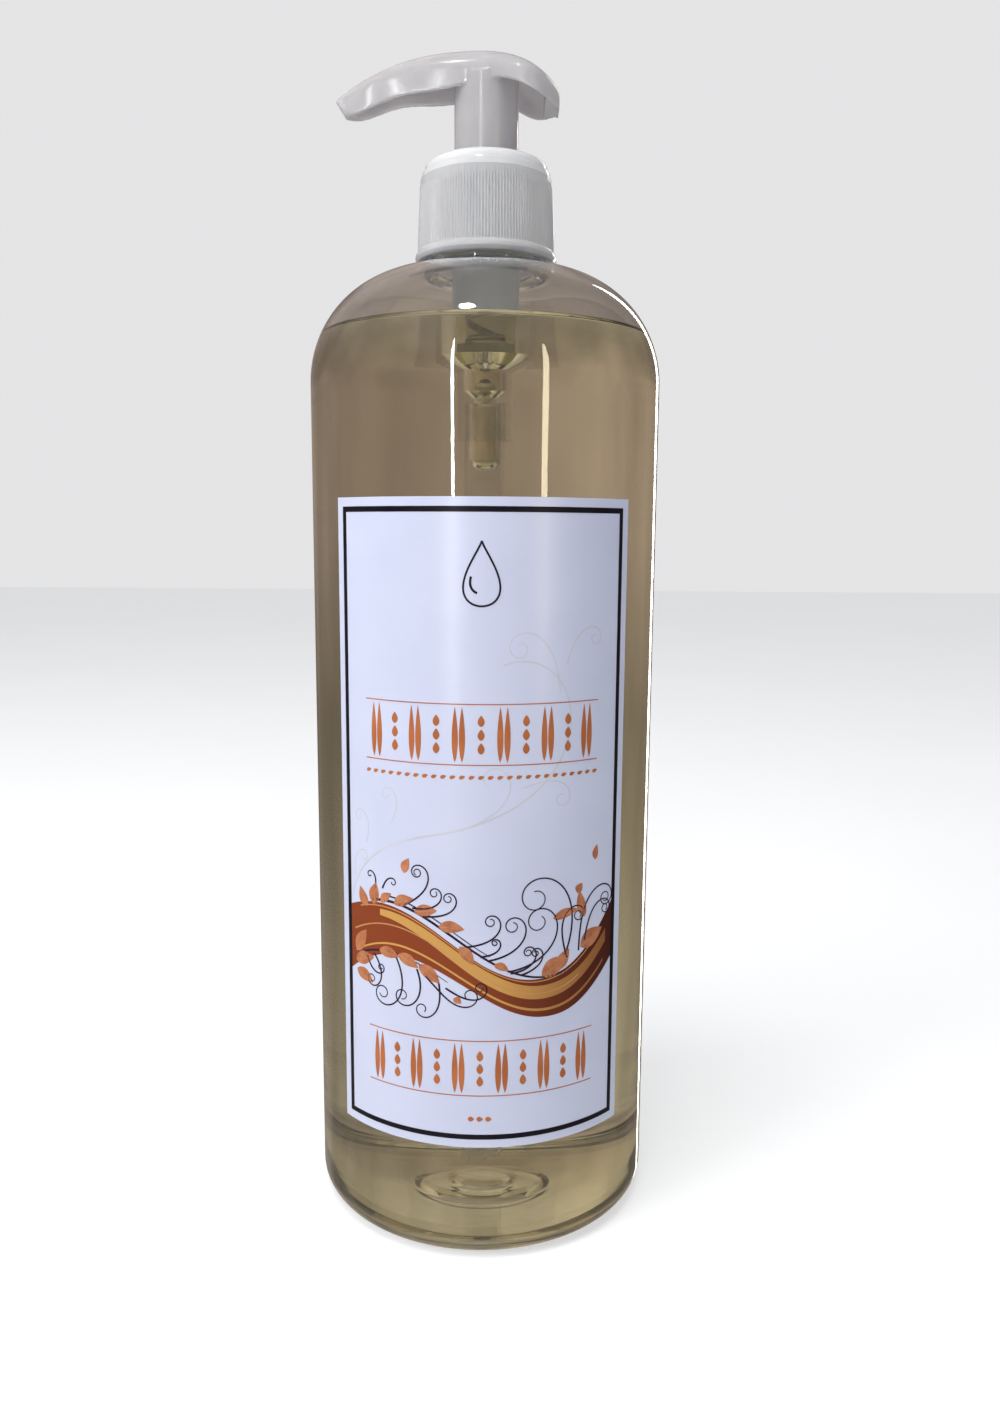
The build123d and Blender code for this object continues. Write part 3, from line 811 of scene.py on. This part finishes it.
def make_housing():
    """Cylinder, ball chamber and tube socket in one moulding, open where the vent lets air in."""
    outline = rounded([
        (4.35, 181.0, 0.2), (4.35, 195.3, 0.4), (cylinder_radius, 197.8, 0.5), (cylinder_radius, 221.8, 0.6),
        (10.5, 223.2, 0.8), (10.5, 239.0, 0.2), (13.4, 239.0, 0.15), (13.4, 240.15, 0.15),
        (9.55, 240.15, 0.2), (9.55, 224.4, 0.5), (cylinder_bore, 223.0, 0.5), (cylinder_bore, 198.6, 0.4),
        (3.3, 196.2, 0.4), (3.3, 191.6, 0.3), (1.7, 190.0, 0.2), (1.7, 189.0, 0.1), (3.25, 189.0, 0.05),
        (3.25, 181.0, 0),
    ], 4)
    dense = []
    for start, end in zip(outline, outline[1:] + outline[:1]):
        dense += stretch(start, end, 1.2)
    piece = lathe("cylinder_shell", [dense], "pump_engine", 96, None, 35)
    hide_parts("pump_housing")
    dry = natural_pp("housing_pp", 0.25, 0.24, (0.93, 0.94, 0.95))
    wet = plain_plastic("housing_pp_in_oil", (0.97, 0.965, 0.95), 0.04, 0.94, 1.016)
    paint(piece, dry, wet)
    for polygon in piece.data.polygons:
        polygon.material_index = 1 if polygon.center.z < fill_height * MM else 0
    return piece


def make_dip_tube():
    """Extruded PE tube, cut on the slant at its foot."""
    inside, outside = tube_bore, tube_radius
    outline = stretch((outside, tube_low), (outside, tube_top), 3.0) + [(outside, tube_top)]
    outline += stretch((inside, tube_top), (inside, tube_low), 3.0) + [(inside, tube_low)]
    piece = lathe("dip_tube_wall", [outline], "pump_engine", 64, None, 35)
    for vertex in piece.data.vertices:
        if vertex.co.z < (tube_low + 0.5) * MM:
            vertex.co.z += (vertex.co.x + outside * MM) * 0.55
    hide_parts("dip_tube")
    paint(piece, plain_plastic("tube_pe", (0.975, 0.97, 0.955), 0.04, 0.95, 1.02))
    return piece


def make_spring():
    """Compression spring with closed ends, spanning the height of the frame's spring part."""
    low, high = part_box("return_spring")[0].z / MM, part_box("return_spring")[1].z / MM
    wire, coil = 0.35, 4.35
    turns, steps, sides = 7.0, 36, 10
    vertices, faces = [], []
    count = int(turns * steps)
    for k in range(count + 1):
        t = k / steps
        edge = min(t, turns - t)
        closed = 2 * wire * min(edge, 1.0)
        share = max(0.0, min(1.0, (t - 1.0) / (turns - 2.0)))
        reach = (high - low - 2 * wire) - 4 * wire
        z = low + wire + (closed if t < 1 else 2 * wire) + reach * share
        if t > turns - 1:
            z = high - wire - 2 * wire * edge
        a = TAU * t
        for s in range(sides):
            b = TAU * s / sides
            r = coil + wire * math.cos(b)
            vertices.append((r * math.cos(a), r * math.sin(a), z + wire * math.sin(b)))
    for k in range(count):
        for s in range(sides):
            i, j = k * sides + s, k * sides + (s + 1) % sides
            faces.append((i, i + sides, j + sides, j))
    faces.append(tuple(range(sides)))
    faces.append(tuple(range(count * sides + sides - 1, count * sides - 1, -1)))
    piece = new_object("spring_coil", vertices, faces, "pump_engine", 60)
    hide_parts("return_spring")
    paint(piece, metal("spring_steel", (0.56, 0.56, 0.55), 0.22, (0.3, 0.3, 6)))
    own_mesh(piece)
    return piece


def finish_cad_nodes():
    """Materials for the inner parts whose CAD shape is already right."""
    steel = metal("ball_steel", (0.60, 0.60, 0.60), 0.08, (1, 1, 1))
    housing = natural_pp("collar_pp", 0.45, 0.30, (0.78, 0.78, 0.80))
    seal = plain_plastic("seal_pe", (0.72, 0.73, 0.72), 0.38, 0.25)
    stem = natural_pp("stem_pp", 0.35, 0.32, (0.80, 0.80, 0.82))
    foam = plain_plastic("gasket_foam", (0.82, 0.82, 0.80), 0.8)
    for node, material in (
        ("check_ball", steel), ("lock_collar", housing), ("ball_cage", housing), ("piston", seal),
        ("piston_poppet", seal), ("stem", stem), ("neck_gasket", foam),
    ):
        paint(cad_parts[node], material)


# ---------------------------------------------------------------- floor, light and camera

def make_floor():
    size, cells = 6.0, 24
    vertices, faces = [], []
    for i in range(cells + 1):
        for j in range(cells + 1):
            vertices.append((size * (i / cells - 0.5), size * (j / cells - 0.5), 0))
    for i in range(cells):
        for j in range(cells):
            a = i * (cells + 1) + j
            faces.append((a, a + cells + 1, a + cells + 2, a + 1))
    mesh = bpy.data.meshes.new("floor")
    mesh.from_pydata(vertices, [], faces)
    floor = bpy.data.objects.new("floor", mesh)
    bpy.context.scene.collection.objects.link(floor)
    surface = Surface(
        "floor_paint", (0.6, 0.6, 0.6), 0.9,
        Specular_IOR_Level=0.0, Emission_Color=(1, 1, 1, 1), Emission_Strength=0.57,
    )
    surface.colour_between(surface.noise(9, 3.0), (0.59, 0.59, 0.59), (0.61, 0.61, 0.61))
    floor.data.materials.append(surface.material)
    floor.visible_transmission = False
    floor.visible_glossy = False


def area_light(
    name, azimuth, elevation, distance, width, height, power, colour=(1, 1, 1), gloss=True, fill=True
):
    """A soft box round the bottle: azimuth 0 is in front, positive to the right, in degrees.

    Without gloss it gives no highlight, and without fill it gives only a highlight."""
    data = bpy.data.lights.new(name, "AREA")
    data.shape = "RECTANGLE" if fill else "ELLIPSE"
    data.size = width
    data.size_y = height
    data.energy = power
    data.color = colour
    lamp = bpy.data.objects.new(name, data)
    bpy.context.scene.collection.objects.link(lamp)
    aim = Vector((0, 0, 0.14))
    a, e = math.radians(azimuth), math.radians(elevation)
    level = distance * math.cos(e)
    lamp.location = aim + Vector((level * math.sin(a), -level * math.cos(a), distance * math.sin(e)))
    lamp.rotation_euler = (aim - lamp.location).to_track_quat("-Z", "Y").to_euler()
    lamp.visible_transmission = False
    lamp.visible_glossy = gloss
    lamp.visible_diffuse = fill
    return lamp


def make_lights():
    area_light("soft_key", -58, 26, 1.1, 0.6, 0.6, 6.6, (0.97, 0.98, 1.0), gloss=False)
    area_light("soft_top", -20, 68, 0.9, 0.5, 0.5, 6.0, gloss=False)
    area_light("shoulder_glow", -18, 63, 0.9, 0.12, 0.09, 1.2, fill=False)
    area_light("strip_left", -19, 6, 0.75, 0.026, 0.75, 1.6, fill=False)
    area_light("strip_right", 38, 6, 0.75, 0.05, 0.62, 0.9, (1.0, 0.88, 0.62), fill=False)
    area_light("rim_right", 152, 0, 0.8, 0.10, 1.4, 2.6, (1.0, 0.96, 0.88), fill=False)


def make_world():
    """Near-white for the camera, soft grey for the lighting, and a dim warm room for what glass shows."""
    world = bpy.data.worlds.new("studio")
    bpy.context.scene.world = world
    world.use_nodes = True
    tree = world.node_tree
    tree.nodes.clear()
    link = tree.links.new

    def mapped(value, low, high, to_low, to_high):
        spread = tree.nodes.new("ShaderNodeMapRange")
        for socket, limit in (("From Min", low), ("From Max", high), ("To Min", to_low), ("To Max", to_high)):
            spread.inputs[socket].default_value = limit
        link(value, spread.inputs["Value"])
        return spread.outputs["Result"]

    def combined(operation, first, second):
        node = tree.nodes.new("ShaderNodeMath")
        node.operation = operation
        link(first, node.inputs[0])
        if isinstance(second, float):
            node.inputs[1].default_value = second
        else:
            link(second, node.inputs[1])
        return node.outputs["Value"]

    def background(colour):
        node = tree.nodes.new("ShaderNodeBackground")
        node.inputs["Color"].default_value = (*colour, 1)
        return node

    def chosen(factor, without, with_it):
        node = tree.nodes.new("ShaderNodeMixShader")
        link(factor, node.inputs["Fac"])
        link(without, node.inputs[1])
        link(with_it, node.inputs[2])
        return node.outputs["Shader"]

    path = tree.nodes.new("ShaderNodeLightPath")
    place = tree.nodes.new("ShaderNodeTexCoord")
    split = tree.nodes.new("ShaderNodeSeparateXYZ")
    link(place.outputs["Generated"], split.inputs["Vector"])

    # The room: coloured by height, brighter to the left, with soft blotches
    ramp = tree.nodes.new("ShaderNodeValToRGB")
    link(mapped(split.outputs["Z"], -1, 1, 0, 1), ramp.inputs["Fac"])
    stops = (
        (0.0, (0.52, 0.48, 0.40)), (0.20, (0.46, 0.42, 0.355)), (0.27, (0.27, 0.235, 0.19)),
        (0.42, (0.16, 0.132, 0.11)), (0.50, (0.26, 0.205, 0.18)), (0.62, (0.24, 0.19, 0.165)),
        (1.0, (0.50, 0.46, 0.43)),
    )
    elements = ramp.color_ramp.elements
    elements[0].position, elements[0].color = stops[0][0], (*stops[0][1], 1)
    elements[1].position, elements[1].color = stops[-1][0], (*stops[-1][1], 1)
    for position, colour in stops[1:-1]:
        elements.new(position).color = (*colour, 1)
    blotches = tree.nodes.new("ShaderNodeTexNoise")
    blotches.inputs["Scale"].default_value = 3.2
    blotches.inputs["Detail"].default_value = 3.0
    link(place.outputs["Generated"], blotches.inputs["Vector"])
    sideways = mapped(split.outputs["X"], 0.45, -0.45, 0.78, 1.42)
    patches = mapped(blotches.outputs["Fac"], 0.35, 0.65, 0.80, 1.20)
    room = background((0, 0, 0))
    link(ramp.outputs["Color"], room.inputs["Color"])
    link(combined("MULTIPLY", sideways, patches), room.inputs["Strength"])

    # The ambient light: more of it reaches what is inside the bottle, which the lamps can't light
    ambient = background((0.90, 0.93, 1.0))
    link(mapped(path.outputs["Is Transmission Ray"], 0, 1, 0.26, 0.70), ambient.inputs["Strength"])

    shown = combined("MAXIMUM", path.outputs["Is Transmission Ray"], path.outputs["Is Glossy Ray"])
    first_hit = combined("LESS_THAN", path.outputs["Diffuse Depth"], 0.5)
    seen = combined("MULTIPLY", shown, first_hit)
    indirect = chosen(seen, ambient.outputs["Background"], room.outputs["Background"])
    sky = background((0.78, 0.78, 0.79))
    output = tree.nodes.new("ShaderNodeOutputWorld")
    link(chosen(path.outputs["Is Camera Ray"], indirect, sky.outputs["Background"]), output.inputs["Surface"])


def make_camera():
    data = bpy.data.cameras.new("camera")
    data.sensor_fit = "VERTICAL"
    data.sensor_height = 36
    data.lens = 28.5
    data.clip_start = 0.01
    camera = bpy.data.objects.new("camera", data)
    bpy.context.scene.collection.objects.link(camera)
    camera.location = (3.87 * MM, -268 * MM, 160.5 * MM)
    camera.rotation_mode = "XYZ"
    pitch, roll = math.radians(8.77), math.radians(0.37)
    aim = Matrix.Rotation(math.pi / 2 - pitch, 4, "X") @ Matrix.Rotation(roll, 4, "Z")
    camera.rotation_euler = aim.to_euler()
    bpy.context.scene.camera = camera


def make_view():
    scene = bpy.context.scene
    scene.view_settings.view_transform = "Standard"
    scene.cycles.max_bounces = 24
    scene.cycles.transmission_bounces = 20
    scene.cycles.transparent_max_bounces = 16


make_camera()
make_floor()
make_world()
make_lights()
make_view()
make_bottle()
make_oil()
make_label_film()
make_border()
make_emblem()
make_ornament_bands()
make_wave()
make_foliage()
make_faint_swirl()
make_closure()
make_head()
make_housing()
make_dip_tube()
make_spring()
finish_cad_nodes()
